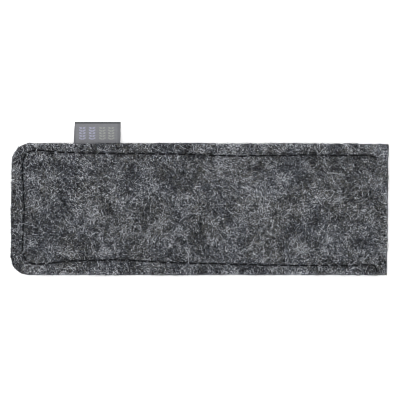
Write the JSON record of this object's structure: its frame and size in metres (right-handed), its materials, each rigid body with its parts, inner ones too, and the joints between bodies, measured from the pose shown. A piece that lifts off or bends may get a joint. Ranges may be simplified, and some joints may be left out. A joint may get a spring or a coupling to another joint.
{
  "type": "glasses case",
  "caption": "Soft flat glasses pouch of thick felt, sewn on three sides and open at one short end, with a small folded ribbon label in one long seam.",
  "frame": {"origin": "middle of the back panel's resting face, where the pouch lies on a table", "axes": "+X along the pouch, out of its open mouth; +Y to the long side that carries the label; +Z out of the front panel"},
  "size_m": [0.1799, 0.073, 0.012],
  "materials": {
    "felt": "matt charcoal melange wool felt",
    "thread": "twisted black sewing thread",
    "ribbon": "woven grey label ribbon with a slight sheen"
  },
  "bodies": {
    "back": {"back_panel": "felt", "bobbin_thread": "thread", "label_sewn_end": "ribbon"},
    "front": {"front_panel": "felt", "needle_thread": "thread"},
    "label": {"label_tab": "ribbon"}
  },
  "joints": [
    {"name": "mouth_open", "type": "hinge", "parent": "back", "child": "front", "pos_m": [-0.09, 0, 0.003], "axis": [0, -1, 0], "range_deg": [0, 4], "stiffness_Nm_per_rad": 0.02},
    {"name": "label_flip", "type": "hinge", "parent": "back", "child": "label", "pos_m": [-0.0492, 0.0322, 0.003], "axis": [1, 0, 0], "range_deg": [-80, 80], "stiffness_Nm_per_rad": 0.0002}
  ]
}
